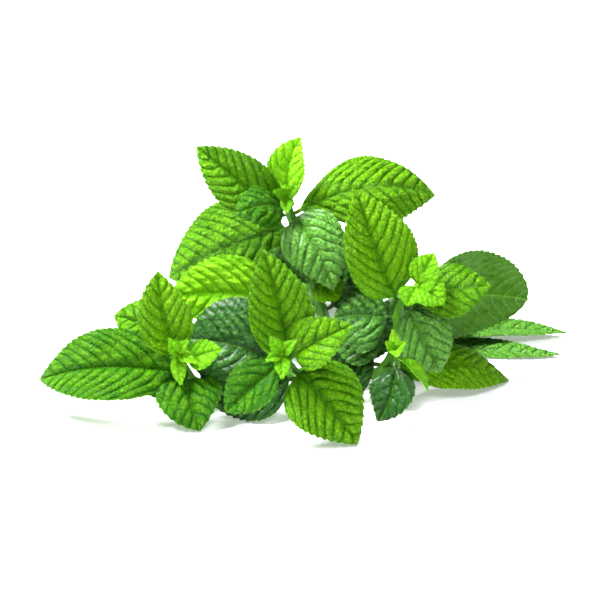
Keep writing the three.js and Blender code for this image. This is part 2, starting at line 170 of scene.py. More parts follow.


# %% [markdown]
# Mint leaves sit in opposite pairs, each pair turned a quarter from the last. Light and weight
# then pull every leaf its own way, so each one is placed one by one: the node it grows from, where
# its tip ends up, the way its upper side looks, and how it bows and folds.

# %% Where the leaves go
LEAVES = {
    "left_leaf_outer": dict(
        at=("left", 2), tip=(-98, -16, 12), face=(-0.15, -0.72, 0.68), width=30,
        arch=0.21, fold=12, cup=30, slot="young_leaf", tone=0.2),
    "left_leaf_upright": dict(
        at=("left", 3), tip=(-52, -14, 55), face=(0.1, -0.9, 0.4), width=22,
        arch=0.06, sway=0.07, fold=19, cup=30, stalk=2.2, slot="young_leaf", tone=0.85),
    "left_leaf_lower": dict(
        at=("left", 2), tip=(-36.7, -36, 0.8), face=(0.05, -0.72, 0.68), width=26,
        arch=0.1, sway=-0.04, fold=14, cup=30, stalk=2, rise=0.48, slot="young_leaf", tone=0.05),
    "left_leaf_small_right": dict(
        at=("left", 3), tip=(-28.5, -26, 29), face=(0.1, -0.75, 0.65), width=12,
        arch=0.1, fold=5, cup=30, slot="tip_leaf", tone=0.3),
    "left_leaf_small_low": dict(
        at=("left", 1), tip=(-57.7, -27, 11.4), face=(-0.3, -0.7, 0.65), width=12,
        arch=0.1, fold=10, cup=20, slot="young_leaf", tone=0.3),
    "left_leaf_back": dict(
        at=("left", 1), tip=(-72.0, 7.0, 28.5), face=(-0.25, -0.8, 0.5), width=28,
        arch=0.08, sway=-0.12, stalk=6, fold=0, cup=30, slot="young_leaf", tone=0.6),
    "inner_leaf_left": dict(
        at=("main", 3), tip=(-41.5, -11, 26.5), face=(-0.1, -0.85, 0.5), width=38,
        arch=0.15, sway=-0.06, stalk=4, fold=0, cup=30, blunt=0.35, slot="mature_leaf", tone=-0.05),
    "inner_leaf_low": dict(
        at=("main", 3), tip=(-33.0, -21.5, 4.4), face=(-0.2, -0.85, 0.5), width=24,
        arch=0.1, fold=0, cup=20, stalk=3, slot="mature_leaf", tone=0),
    "front_leaf_upright": dict(
        at=("main", 4), tip=(-12.8, -28, 68.5), face=(0.15, -0.95, 0.25), width=26.5,
        arch=0.05, fold=24, cup=28, slot="young_leaf", tone=0.65),
    "front_leaf_lower": dict(
        at=("main", 4), tip=(20.5, -47.3, 1.15), face=(0.05, -0.76, 0.65), width=30,
        arch=0.13, sway=0.02, stalk=1.5, fold=6, cup=30, rise=0.52, slot="young_leaf", tone=0.6),
    "front_leaf_right": dict(
        at=("main", 5), tip=(18.4, -38, 43.8), face=(-0.25, -0.8, 0.55), width=20,
        arch=0.1, fold=12, cup=30, rise=0.45, slot="young_leaf", tone=0.7),
    "front_leaf_left": dict(
        at=("main", 5), tip=(-26.7, -42, 11.4), face=(-0.2, -0.8, 0.5), width=19,
        arch=0.08, fold=14, cup=30, slot="young_leaf", tone=0.05),
    "right_leaf_upright": dict(
        at=("right", 3), tip=(20.8, -6, 83.7), face=(0.25, -0.9, 0.35), width=31,
        arch=0.06, sway=0.04, fold=22, cup=30, rise=0.63, slot="young_leaf", tone=1),
    "right_leaf_lower": dict(
        at=("right", 3), tip=(52, -22, 18), face=(-0.1, -0.85, 0.5), width=23,
        arch=0.08, fold=6, cup=35, slot="mature_leaf", tone=0.85),
    "right_leaf_outer": dict(
        at=("right", 4), tip=(70, -16, 50), face=(-0.1, -0.75, 0.65), width=22,
        arch=0.08, fold=-8, cup=20, slot="young_leaf", tone=0.5),
    "right_leaf_inner": dict(
        at=("right", 2), tip=(12.8, -8, 34.3), face=(-0.2, -0.7, 0.7), width=31,
        arch=0.12, fold=-5, cup=30, slot="mature_leaf", tone=0.4),
    "right_leaf_back": dict(
        at=("right", 2), tip=(90, 20, 30.0), face=(-0.1, 0.97, 0.1), width=39, blunt=0.3,
        arch=0.1, sway=-0.04, fold=0, cup=30, slot="mature_leaf", tone=0.6),
    # Its high tone is painted light, brightening a leaf that lies in the shade of the right-hand leaves.
    "right_leaf_table": dict(
        at=("right", 0), tip=(82, 6, 1.4), face=(0.1, -0.45, 0.9), width=24,
        arch=0.16, fold=-10, cup=20, slot="young_leaf", tone=1.3),
    "middle_leaf_small": dict(
        at=("top", 1), tip=(14.4, -3.0, 39.2), face=(0.2, -0.85, 0.5), width=14,
        arch=0.1, fold=0, cup=20, slot="young_leaf", tone=1.2),
    "inner_leaf_dark": dict(
        at=("right", 0), tip=(14.2, -5.0, 14.0), face=(0, -0.85, 0.5), width=25,
        arch=0.08, stalk=1.5, fold=0, cup=20, slot="mature_leaf", tone=0.1),
    "inner_leaf_middle": dict(
        at=("right", 1), tip=(12.2, -3.0, 22.7), face=(0, -0.7, 0.7), width=22,
        arch=0.1, stalk=1.5, fold=0, cup=20, slot="mature_leaf", tone=0.5),
    "inner_leaf_shade": dict(
        at=("main", 2), tip=(47, 17, 31), face=(0, -0.85, 0.5), width=20,
        arch=0.06, fold=0, cup=20, slot="mature_leaf", tone=0.2),
    "small_leaf_hanging": dict(
        at=("small", 0), tip=(28.4, -32, 2.8), face=(-0.3, -0.9, 0.35), width=18,
        arch=0.08, sway=0.1, stalk=0.6, fold=8, cup=30, rise=0.55, slot="mature_leaf", tone=-0.55),
    "small_leaf_right": dict(
        at=("small", 1), tip=(47.2, -28, 13), face=(0.7, -0.3, 0.65), width=8,
        arch=0.12, fold=10, cup=10, slot="tip_leaf", tone=0.4),
    "top_leaf_left": dict(
        at=("top", 3), tip=(-38.8, 15, 94.0), face=(-0.2, -0.9, 0.35), width=24,
        arch=0.06, fold=20, cup=20, slot="young_leaf", tone=0.5),
    "top_leaf_hanging": dict(
        at=("top", 3), tip=(12.4, -6, 44.5), face=(-0.1, -0.8, 0.55), width=25,
        arch=0.14, sway=0.06, fold=4, cup=30, rise=0.47, slot="mature_leaf", tone=0.95),
    "top_leaf_upright": dict(
        at=("top", 4), tip=(0.4, 17, 97), face=(-0.3, -0.9, 0.2), width=17,
        arch=0.05, sway=0.13, fold=20, cup=10, stalk=2, slot="tip_leaf", tone=0.8),
    "top_leaf_small": dict(
        at=("top", 4), tip=(-24.4, -6.0, 74.7), face=(-0.1, -0.8, 0.6), width=19,
        arch=0.2, fold=-10, cup=20, slot="young_leaf", tone=0.1),
    "top_leaf_right": dict(
        at=("top", 3), tip=(52, 22, 72.6), face=(0, -0.75, 0.65), width=31,
        arch=0.17, sway=0.05, fold=-14, cup=20, rise=0.95, slot="young_leaf", tone=0.7),
    "top_leaf_broad": dict(
        at=("top", 2), tip=(-52.4, 30.0, 35.3), face=(-0.15, -0.93, 0.35), width=38,
        arch=0.05, sway=-0.03, fold=-12, cup=20, slot="young_leaf", tone=0.5),
    "middle_leaf_bright": dict(
        at=("top", 0), tip=(-50.8, 3, 37.5), face=(-0.05, -0.93, 0.35), width=30,
        arch=0.04, sway=-0.08, stalk=16, fold=0, cup=20, slot="tip_leaf", tone=0.75),
    "middle_leaf_dark": dict(
        at=("top", 1), tip=(-10.5, 1, 58), face=(0, -0.93, 0.35), width=23,
        arch=0.08, fold=0, cup=20, slot="mature_leaf", tone=0.4),
    "middle_leaf_right": dict(
        at=("top", 0), tip=(34, 12, 51.0), face=(0, -0.9, 0.4), width=21,
        arch=0.06, fold=0, cup=20, slot="mature_leaf", tone=0.2),
    "low_leaf_far": dict(
        at=("low", 1), tip=(112.7, 52, 1.9), face=(0, -0.1, 1), width=18,
        arch=0.04, fold=10, cup=10, slot="mature_leaf", tone=0.9),
    "low_leaf_near": dict(
        at=("low", 1), tip=(106, 30, 1.9), face=(0, -0.1, 1), width=17,
        arch=-0.02, fold=8, cup=10, slot="mature_leaf", tone=0.9),
    "back_leaf_right": dict(
        at=("main", 0), tip=(66, 84, 4), face=(0.2, 0.3, 0.9), width=25,
        arch=0.14, fold=0, cup=25, slot="mature_leaf", tone=0.5),
    "back_leaf_left": dict(
        at=("main", 0), tip=(-14, 84, 3), face=(-0.2, 0.3, 0.9), width=26,
        arch=0.16, fold=0, cup=25, slot="mature_leaf", tone=0.4),
    "back_leaf_low": dict(
        at=("main", 1), tip=(-34, 38, 6), face=(-0.3, 0.5, 0.8), width=26,
        arch=0.18, fold=0, cup=25, slot="mature_leaf", tone=0.6),
    "back_leaf_high": dict(
        at=("top", 1), tip=(34, 54, 46), face=(0.1, 0.6, 0.75), width=24,
        arch=0.1, fold=8, cup=25, slot="young_leaf", tone=0.5),
    "back_leaf_middle": dict(
        at=("top", 0), tip=(-24, 50, 32), face=(-0.3, 0.6, 0.7), width=25,
        arch=0.12, fold=6, cup=25, slot="mature_leaf", tone=0.7),
}

# The leaves just opening round the bud at the end of each shoot.
TIPS = {
    "left": [
        dict(tip=(-48, -25, 33), face=(0.3, -0.9, 0.3), width=5.5),
        dict(tip=(-41, -24, 32), face=(-0.3, -0.9, 0.3), width=4.5),
        dict(tip=(-43.8, -28, 15.5), face=(0, -0.9, 0.4), width=6),
        dict(tip=(-38, -27, 24), face=(0.2, -0.8, 0.6), width=5),
    ],
    "front": [
        dict(tip=(-10.6, -42, 41), face=(0.2, -0.9, 0.2), width=5.5),
        dict(tip=(-6.3, -48, 27.4), face=(0, -0.8, 0.6), width=6),
        dict(tip=(-1.5, -43, 40), face=(-0.4, -0.8, 0.3), width=5),
        dict(tip=(-12, -45, 33), face=(-0.2, -0.8, 0.6), width=4.5),
    ],
    "right": [
        dict(tip=(49, -14, 62), face=(-0.3, -0.9, 0.3), width=12),
        dict(tip=(52.5, -23, 45.7), face=(-0.1, -0.7, 0.7), width=13, arch=0.15),
        dict(tip=(50, -19, 54), face=(-0.2, -0.8, 0.5), width=8),
        dict(tip=(39, -22, 44.5), face=(-0.4, -0.8, 0.5), width=10.5),
    ],
    "top": [
        dict(tip=(-10, 4, 80), face=(0.2, -0.8, 0.5), width=5),
        dict(tip=(-1, 5, 82), face=(-0.3, -0.9, 0.2), width=5),
        dict(tip=(-5, 2, 72), face=(0, -0.8, 0.6), width=5),
    ],
    "small": [
        dict(tip=(31, -30, 33.5), face=(0.2, -0.8, 0.5), width=4.5),
        dict(tip=(38, -31, 34), face=(-0.3, -0.8, 0.4), width=4.5),
        dict(tip=(35, -35, 30), face=(0, -0.8, 0.6), width=4.5),
        dict(tip=(34, -24, 36), face=(0, 0.8, 0.5), width=4),
    ],
    "low": [
        dict(tip=(62, 46, 20), face=(-0.6, -0.6, 0.5), width=5),
        dict(tip=(61, 37, 20), face=(-0.6, 0.6, 0.5), width=5),
        dict(tip=(66, 41, 17), face=(-0.6, 0, 0.8), width=5),
    ],
}
print(len(LEAVES), "leaves and", sum(len(tip) for tip in TIPS.values()), "opening leaves")


# %% [markdown]
# Real mint leaves are thin, and nearly all of their character is relief. The side veins are sunk
# into the upper side and stand out below, and the blade puffs up between them like a quilt. Each
# vein leaves the rib at about half a right angle and bends forward near the edge. Counting veins
# as a phase that grows along the leaf lets one number place both the relief here and the fine
# lines in the material later.

# %% A quilted, toothed blade
TOOTH_SPACING = 2.1
STATIONS_PER_TOOTH = 5
VEIN_SPACING = 4.9
STALK_LENGTH = 1.5
STALK_HALF_WIDTH = 0.75
JOINT_GAP = 0.35
NODE_SWELLING = 0.22
ROOT_SHARE = 0.02
USUAL_RISE = 0.68
TOOTH_DEPTH = 0.55
BLADE_HALF_THICKNESS = 0.17
FULL_RELIEF_WIDTH = 26
PUFF_HEIGHT = 1.1
PUFF_LOWERED = 0.45
RIB_GROOVE = 0.4
EDGE_WAVE = 0.012
SHARP_EDGE = math.radians(50)


def unit(v):
    """v made one unit long, pointing the same way."""
    v = np.asarray(v, float)
    return v / np.linalg.norm(v, axis=-1, keepdims=True)


def outline(s, rise, blunt):
    """Half the width of a blade at s, from 0 at its stalk to 1 at its tip, of its widest."""
    fall = 0.92 * (1 - blunt)
    widest = rise / (rise + fall)
    return s**rise * (1 - s) ** fall / (widest**rise * (1 - widest) ** fall)


def rib_of(leaf):
    """The line of a leaf's rib: where it leaves the stem, where it ends, and its frame."""
    tip = np.array(leaf["tip"], float)
    if "at" in leaf:
        stem, number = leaf["at"]
        u = STEMS[stem]["nodes"][number]
        node = curves[stem].at(u)
        along = curves[stem].direction(u)
        out = tip - node
        out = unit(out - along * (out @ along))
        reach = half_of(stem, u) * (1 + NODE_SWELLING) * math.sqrt(2) + JOINT_GAP
        base = node + out * reach
        root = node + out * half_of(stem, u) * 0.6
    else:
        base = root = np.array(leaf["base"], float)
    chord = tip - base
    face = np.array(leaf["face"], float)
    face = unit(face - chord * (face @ chord) / (chord @ chord))
    return dict(root=root, base=base, chord=chord, face=face,
                side=unit(np.cross(face, chord)), length=np.linalg.norm(chord))


def rib_points(rib, leaf, t):
    """Points of the bowed rib. Where t is below 0 they run back into the stem."""
    t = np.asarray(t, float)[:, None]
    bow = 4 * t * (1 - t) * rib["length"]
    bow = np.where(t < 0, 0, bow)
    line = rib["base"] + rib["chord"] * np.maximum(t, 0)
    line = line + (rib["root"] - rib["base"]) * np.minimum(np.maximum(-t, 0) / ROOT_SHARE, 1)
    return line + rib["face"] * bow * leaf.get("arch", 0.1) + rib["side"] * bow * leaf.get("sway", 0)


def blade(leaf, seed):
    """Vertices, faces and the numbers that the leaf material reads, for one leaf."""
    rng = np.random.default_rng(seed)
    rib = rib_of(leaf)
    stalk = min(leaf.get("stalk", STALK_LENGTH) / rib["length"], 0.3)
    blade_length = rib["length"] * (1 - stalk)
    teeth = int(np.clip(round(blade_length / TOOTH_SPACING), 5, 24))
    veins = float(np.clip(blade_length / VEIN_SPACING, 4, 11))
    columns = int(np.clip(round(leaf["width"] / 0.7), 10, 40)) // 2 * 2 + 1

    s = np.linspace(0, 1, teeth * STATIONS_PER_TOOTH + 1)
    tip_rows = np.array([1 - 0.4 / teeth / STATIONS_PER_TOOTH])
    s = np.sort(np.concatenate([s, tip_rows]))
    # A leaf on a stem starts inside it. One on a bud has no root, so it starts at its base.
    on_stalk = np.linspace(-ROOT_SHARE if "at" in leaf else 0, stalk, 9)[:-1]
    t = np.concatenate([on_stalk, stalk + (1 - stalk) * s])
    s = np.concatenate([np.zeros(len(on_stalk)), s])
    v = np.linspace(-1, 1, columns)
    v = np.sign(v) * np.abs(v) ** 0.92

    centre = rib_points(rib, leaf, t)
    ahead = rib_points(rib, leaf, np.maximum(t, 0) + 0.004)
    behind = rib_points(rib, leaf, np.maximum(t, 0) - 0.004 * (np.maximum(t, 0) > 0.004))
    along = unit(ahead - behind)
    side = unit(np.cross(rib["face"], along))
    up = np.cross(along, side)

    share = outline(s, leaf.get("rise", USUAL_RISE), leaf.get("blunt", 0.0))
    half = np.maximum(leaf["width"] / 2 * share, STALK_HALF_WIDTH)
    half = np.where(s >= 1, 0.12, np.where(s > 0.985, np.minimum(half, 0.6), half))
    width = half[:, None] * np.ones_like(v)
    s2, v2 = s[:, None] * np.ones_like(v), np.ones_like(s)[:, None] * v

    # Saw teeth: each rises slowly from its notch and drops just past its tip.
    phase = (s * teeth) % 1
    phase = np.where((s > 0) & (np.abs(phase - 1) < 1e-9), 0, phase)
    top = (STATIONS_PER_TOOTH - 1) / STATIONS_PER_TOOTH
    saw = np.minimum(phase / top, (1 - phase) / (1 - top))
    depth = np.minimum(TOOTH_DEPTH, 0.12 * half) * min(leaf["width"] / 16, 1)
    depth = depth * np.clip(s * 6, 0, 1) * np.clip((1 - s) * 12, 0, 1)
    near_edge = np.abs(v) ** 7
    width = width - (depth * (1 - saw))[:, None] * near_edge
    lean = (0.9 * depth * saw)[:, None] * near_edge

    # Veins, as a phase that passes a whole number on each one.
    x = np.abs(v2) * width
    forward = 0.6 * (x + 1.2 * x**2 / (leaf["width"] / 2)) / blade_length
    wobble = 0.12 * np.sin(7 * s2 + 3 * v2 + rng.uniform(0, 6))
    wobble = wobble + 0.06 * np.sin(19 * s2 + 5 * v2 + rng.uniform(0, 6))
    vein = veins * (s2 - forward) + wobble + 0.12 * np.sign(v2) * np.minimum(np.abs(v2) * 6, 1)
    off_vein = np.abs(vein - np.round(vein))
    puff = 1 - (1 - 2 * off_vein) ** 2.4
    crossing = x / 2.8 + 0.37 * np.floor(vein) + 0.3 * np.sin(9 * s2 + 4 * v2)
    cell = 1 - (1 - 2 * np.abs(crossing - np.round(crossing))) ** 1.6
    body = np.clip(s2 * 9, 0, 1) * np.clip((1 - s2) * 7, 0, 1)
    inside = np.clip(np.abs(v2) * 5, 0, 1) * (1 - 0.55 * np.abs(v2) ** 3)
    scale = min(leaf["width"] / FULL_RELIEF_WIDTH, 1.1)
    uneven = 1 + 0.25 * np.sin(2.1 * np.floor(vein) + 0.9 * x + rng.uniform(0, 6))
    relief = scale * body * (
        PUFF_HEIGHT * inside * puff * (0.5 + 0.5 * cell) * uneven - PUFF_LOWERED)
    relief -= RIB_GROOVE * scale * np.exp(-((x / 0.55) ** 2)) * np.clip(s2 * 12, 0, 1) * (1 - 0.6 * s2)
    wave = np.sin(2 * np.pi * (2.3 * s2 + rng.uniform(0, 1)) + 1.3 * np.sign(v2))
    relief += EDGE_WAVE * leaf["width"] * np.abs(v2) ** 3 * wave * body

    # The two halves fold up from the rib and curl down again.
    fold, cup = math.radians(leaf.get("fold", 12)), math.radians(leaf.get("cup", 30))
    grid = np.linspace(0, 1, 41)
    angle = fold + cup * (0.5 - grid)
    out_by = np.concatenate([[0], np.cumsum(np.cos((angle[1:] + angle[:-1]) / 2))]) / 40
    rise_by = np.concatenate([[0], np.cumsum(np.sin((angle[1:] + angle[:-1]) / 2))]) / 40
    opened = np.clip(s2 * 8, 0.0, 1)
    out = np.sign(v2) * width * np.interp(np.abs(v2), grid, out_by)
    rise = width * np.interp(np.abs(v2), grid, rise_by) * opened

    middle = (centre[:, None] + side[:, None] * out[..., None]
              + up[:, None] * (rise + relief)[..., None] + along[:, None] * lean[..., None])
    normal = np.cross(np.gradient(middle, axis=0), np.gradient(middle, axis=1))
    normal = unit(normal) * np.sign(np.sum(normal * up[:, None], -1, keepdims=True) + 1e-12)

    on_stalk2 = np.clip(1 - s2 * 10, 0, 1)
    bead = np.exp(-((x / 0.7) ** 2)) * (1 - 0.75 * s2)
    bead = bead + 0.35 * np.exp(-((off_vein / 0.06) ** 2)) * body * (1 - np.abs(v2)) * 0.8
    rounded = np.sqrt(np.clip(1 - v2**2, 0, 1))
    above = BLADE_HALF_THICKNESS + on_stalk2 * 0.25 * rounded
    below = BLADE_HALF_THICKNESS + on_stalk2 * 0.45 * rounded
    below = below + 0.42 * scale * bead * (1 - on_stalk2)
    upper, under = middle + normal * above[..., None], middle - normal * below[..., None]

    rows, cols = v2.shape
    index = np.arange(rows * cols).reshape(rows, cols)
    a, b, c, d = index[:-1, :-1], index[1:, :-1], index[1:, 1:], index[:-1, 1:]
    n = rows * cols
    faces = [np.stack([a, b, c, d], -1).reshape(-1, 4), np.stack([a, d, c, b], -1).reshape(-1, 4) + n]
    # A strip round the edge joins the upper side to the under side.
    for edge, turn in ((index[:, 0], 1), (index[:, -1], -1), (index[0], -1), (index[-1], 1)):
        p, q = edge[:-1], edge[1:]
        quad = np.stack([p + n, q + n, q, p], -1)
        faces.append(quad[:, ::turn])
    points = np.concatenate([upper.reshape(-1, 3), under.reshape(-1, 3)]) - MIDDLE_OF_HEAP
    plan = np.stack([(t[:, None] * rib["length"]) * np.ones_like(v), np.sign(v2) * x, 0 * v2 + seed], -1)
    numbers = {
        "vein": np.tile(vein.reshape(-1), 2),
        "across": np.tile(np.abs(v2).reshape(-1), 2),
        "along": np.tile(s2.reshape(-1), 2),
        "upper": np.repeat([1.0, 0.0], n),
        "puff": np.tile((puff * (0.5 + 0.5 * cell) * inside).reshape(-1), 2),
        "tone": np.full(2 * n, leaf.get("tone", 0.5)),
        "plan": np.tile(plan.reshape(-1, 3), (2, 1)),
    }
    return points * MM, np.concatenate(faces), numbers


def make_piece(name, parts):
    """One mesh object from one or more (points, faces, numbers)."""
    points, faces, start = [], [], 0
    for p, f, _ in parts:
        points.append(p)
        faces.append(f + start)
        start += len(p)
    assert np.isfinite(np.concatenate(points)).all(), name + " has a point that is nowhere"
    mesh = bpy.data.meshes.new(name)
    mesh.from_pydata(np.concatenate(points).tolist(), [], np.concatenate(faces).tolist())
    for key in parts[0][2]:
        values = np.concatenate([numbers[key] for _, _, numbers in parts])
        kind, field = ("FLOAT_VECTOR", "vector") if values.ndim == 2 else ("FLOAT", "value")
        mesh.attributes.new(key, kind, "POINT").data.foreach_set(field, values.astype(np.float32).ravel())
    mesh.polygons.foreach_set("use_smooth", np.ones(len(mesh.polygons), bool))
    mesh.set_sharp_from_angle(angle=SHARP_EDGE)
    mesh.update()
    piece = bpy.data.objects.new(name, mesh)
    bpy.context.scene.collection.objects.link(piece)
    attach(piece, "root")
    return piece


pieces = {}
for seed, (name, leaf) in enumerate(LEAVES.items()):
    pieces[name] = make_piece(name.replace("_leaf", "_blade"), [blade(leaf, seed)])
    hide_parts(name)
print("Made", len(pieces), "blades of", sum(len(p.data.polygons) for p in pieces.values()) * 2, "triangles")

# %% [markdown]
# At the end of every shoot the next leaves are already open, a few millimetres long and the
# brightest on the plant. They close round a bud. The same blade recipe makes them, only smaller,
# and they are joined with a little bud so that each shoot tip is one piece.

# %% Shoot tips
BUD_RADIUS = 1.5


def ball(centre, radius, tone):
    """A small bud as a closed skin of four-sided faces."""
    turns, rings = 16, 9
    tilt = math.pi * (np.arange(rings) + 0.5)[:, None] / rings
    around = 2 * math.pi * np.arange(turns) / turns
    flat, high = radius * np.sin(tilt), radius * np.cos(tilt)
    points = np.stack([flat * np.cos(around), flat * np.sin(around), high + 0 * around], -1)
    points = centre + points.reshape(-1, 3)
    index = np.arange(rings * turns).reshape(rings, turns)
    beside = np.roll(index, -1, axis=1)
    faces = np.stack([index[:-1], index[1:], beside[1:], beside[:-1]], -1).reshape(-1, 4).tolist()
    for k in range(turns // 2 - 1):
        ladder = [k, k + 1, turns - 2 - k, turns - 1 - k]
        faces.append(index[0][ladder].tolist())
        faces.append(index[-1][ladder[::-1]].tolist())
    count = len(points)
    numbers = {
        "vein": np.full(count, 0.5), "across": np.full(count, 0.5), "along": np.full(count, 0.5),
        "upper": np.ones(count), "puff": np.full(count, 0.5), "tone": np.full(count, tone), "plan": points,
    }
    return (points - MIDDLE_OF_HEAP) * MM, np.array(faces), numbers


for number, (name, leaves) in enumerate(TIPS.items()):
    curve = curves["main" if name == "front" else name]
    bud = curve.at(1) + curve.direction(1) * (BUD_RADIUS + JOINT_GAP)
    parts = []
    for k, leaf in enumerate(leaves):
        small = dict(leaf, base=bud, stalk=0.8, tone=0.5)
        parts.append(blade(small, 100 + 10 * number + k))
    parts.append(ball(bud, BUD_RADIUS, 0.8))
    tip = make_piece(name + "_opening_leaves", parts)
    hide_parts(name + "_tip_leaves")
    pieces[name + "_tip_leaves"] = tip
print("Made the opening leaves of", len(TIPS), "shoots")

# %% [markdown]
# Mint is known by its square stem. The corners are rounded ridges with a shallow channel between
# them, and the stem is a little thicker at each node. A cross-section swept along the stem's
# curve makes it, turned as little as possible on the way so that the flats run straight.

# %% Square stems
STEM_SIDES = 32
HAIRS_PER_MM = 7
HAIR_LENGTH = 0.5
HAIR_WIDTH = 0.06
HAIR_CLEARANCE = 0.05
STEM_CLEARANCE = 0.02


def swelling(name, u):
    """How much thicker a stem is at u, as a share: most at each node."""
    away = [(u - node) * curves[name].length / 2.2 for node in STEMS[name]["nodes"]]
    share = NODE_SWELLING if "on" in STEMS[name] else 0.5 * NODE_SWELLING
    return 1 + share * max(math.exp(-(d**2)) for d in away)


def stem_rings(name):
    """The points round a stem, ring by ring, and the middle of each ring."""
    curve = curves[name]
    u = np.linspace(0, 1, max(int(curve.length / 1.2), 12) + 1)
    around = np.arange(STEM_SIDES) * 2 * math.pi / STEM_SIDES
    square = (np.abs(np.cos(around)) ** 6 + np.abs(np.sin(around)) ** 6) ** (-1 / 6)
    square = square * (1 - 0.05 * np.cos(2 * around) ** 2)
    up = np.array([0.0, 0.0, 1.0])
    rings = []
    for place, along, here in zip(curve.at(u), curve.direction(u), u):
        up = unit(up - along * (up @ along))
        side = np.cross(along, up)
        r = half_of(name, here) * swelling(name, here) * square
        rings.append(place + np.outer(r * np.cos(around), side) + np.outer(r * np.sin(around), up))
    rings = np.array(rings)
    if name == "main":
        rings[..., 2] = np.maximum(rings[..., 2], STEM_CLEARANCE)
    return rings, curve.at(u)


def hairs(rings, middles, rng):
    """Short spikes that stand out from a stem and lean a little down it."""
    steps = np.linalg.norm(middles[1] - middles[0])
    count = int(HAIRS_PER_MM * steps * (len(rings) - 1))
    points, faces = [], []
    for _ in range(count):
        i, j = rng.integers(0, len(rings) - 1), rng.integers(0, STEM_SIDES)
        foot = rings[i, j] + rng.random() * (rings[i + 1, j] - rings[i, j])
        out = unit(foot - middles[i])
        along = unit(middles[i + 1] - middles[i])
        end = foot + (out - 0.5 * along * rng.random()) * HAIR_LENGTH * rng.uniform(0.5, 1)
        if end[2] < HAIR_CLEARANCE:
            continue
        across = np.cross(along, out)
        foot = foot - 0.05 * out
        start = len(points)
        points += [foot + HAIR_WIDTH * across, foot + HAIR_WIDTH * along, foot - HAIR_WIDTH * across, end]
        faces += [[start, start + 1, start + 3], [start + 1, start + 2, start + 3],
                  [start + 2, start, start + 3], [start, start + 2, start + 1]]
    return points, faces


for number, name in enumerate(STEMS):
    rings, middles = stem_rings(name)
    index = np.arange(rings.shape[0] * STEM_SIDES).reshape(-1, STEM_SIDES)
    a, b = index[:-1], np.roll(index, -1, axis=1)[:-1]
    c, d = np.roll(index, -1, axis=1)[1:], index[1:]
    faces = np.stack([a, d, c, b], -1).reshape(-1, 4).tolist()
    faces += [index[0].tolist(), index[-1][::-1].tolist()]
    spikes, spike_faces = hairs(rings, middles, np.random.default_rng(200 + number))
    faces += [[k + index.size for k in face] for face in spike_faces]
    points = np.concatenate([rings.reshape(-1, 3), spikes])
    mesh = bpy.data.meshes.new(name + "_square_stem")
    mesh.from_pydata(((points - MIDDLE_OF_HEAP) * MM).tolist(), [], faces)
    mesh.polygons.foreach_set("use_smooth", np.ones(len(mesh.polygons), bool))
    mesh.set_sharp_from_angle(angle=SHARP_EDGE)
    piece = bpy.data.objects.new(name + "_square_stem", mesh)
    bpy.context.scene.collection.objects.link(piece)
    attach(piece, "root")
    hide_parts(name + "_stem")
    pieces[name + "_stem"] = piece
    print("The", name, "stem has", len(spike_faces) // 4, "hairs")

# %% [markdown]
# A leaf's colour changes at several scales: from leaf to leaf with age and with painted light and
# shade that set how lit each leaf looks, in soft patches, lighter on its puffs and darker in the
# hollows as painted light and shade, dark where veins sink in as painted shade of the grooves, and
# in a net of finer veins about a millimetre across, darkened as painted shade too. It is darker
# towards the stalk as painted shade where the leaf bases crowd, and a pale rim along the edge is a
# painted highlight. The upper side has a thin wax that shines where it faces the light, and the
# older leaves carry a painted sheen on their puffs. The under side is duller, with its veins
# standing out light.

# %% Leaf materials


class Nodes:
    """A short way to write a tree of material nodes."""

    def __init__(self, name):
        self.material = bpy.data.materials.new(name)
        self.material.use_nodes = True
        self.tree = self.material.node_tree
        self.tree.nodes.clear()

    def put(self, value, socket):
        if isinstance(value, bpy.types.NodeSocket):
            self.tree.links.new(value, socket)
        elif isinstance(value, (tuple, list)) and len(value) == 3 and socket.type == "RGBA":
            socket.default_value = (*value, 1)
        elif value is not None:
            socket.default_value = value

    def add(self, kind, inputs=None, out=0, **settings):
        node = self.tree.nodes.new(kind)
        for key, value in settings.items():
            setattr(node, key, value)
        for key, value in (inputs or {}).items():
            self.put(value, node.inputs[key])
        return node.outputs[out] if node.outputs else node

    def math(self, operation, a, b=None, c=None, clamp=False):
        return self.add("ShaderNodeMath", {0: a, 1: b, 2: c}, operation=operation, use_clamp=clamp)

    def number(self, name):
        return self.add("ShaderNodeAttribute", attribute_name=name, out=2)

    def vector(self, name):
        return self.add("ShaderNodeAttribute", attribute_name=name, out=1)

    def band(self, value, start, end, low=0.0, high=1.0):
        """value from start to end, eased into low to high."""
        return self.add("ShaderNodeMapRange", {0: value, 1: start, 2: end, 3: low, 4: high},
                        interpolation_type="SMOOTHSTEP")

    def mix(self, factor, a, b):
        return self.add("ShaderNodeMix", {0: factor, 6: a, 7: b}, out=2, data_type="RGBA")

    def noise(self, where, scale, detail=2.0):
        return self.add("ShaderNodeTexNoise", {"Vector": where, "Scale": scale, "Detail": detail})


# White surroundings reflected as they are would turn dark leaves grey, so reflections are tinted.
REFLECTED_GREEN = (0.5, 1.0, 0.42)
WAX_ROUGHNESS = 0.33
# How dark the vein lines are painted: painted shade of the sunken grooves.
VEIN_DARKNESS = 0.72


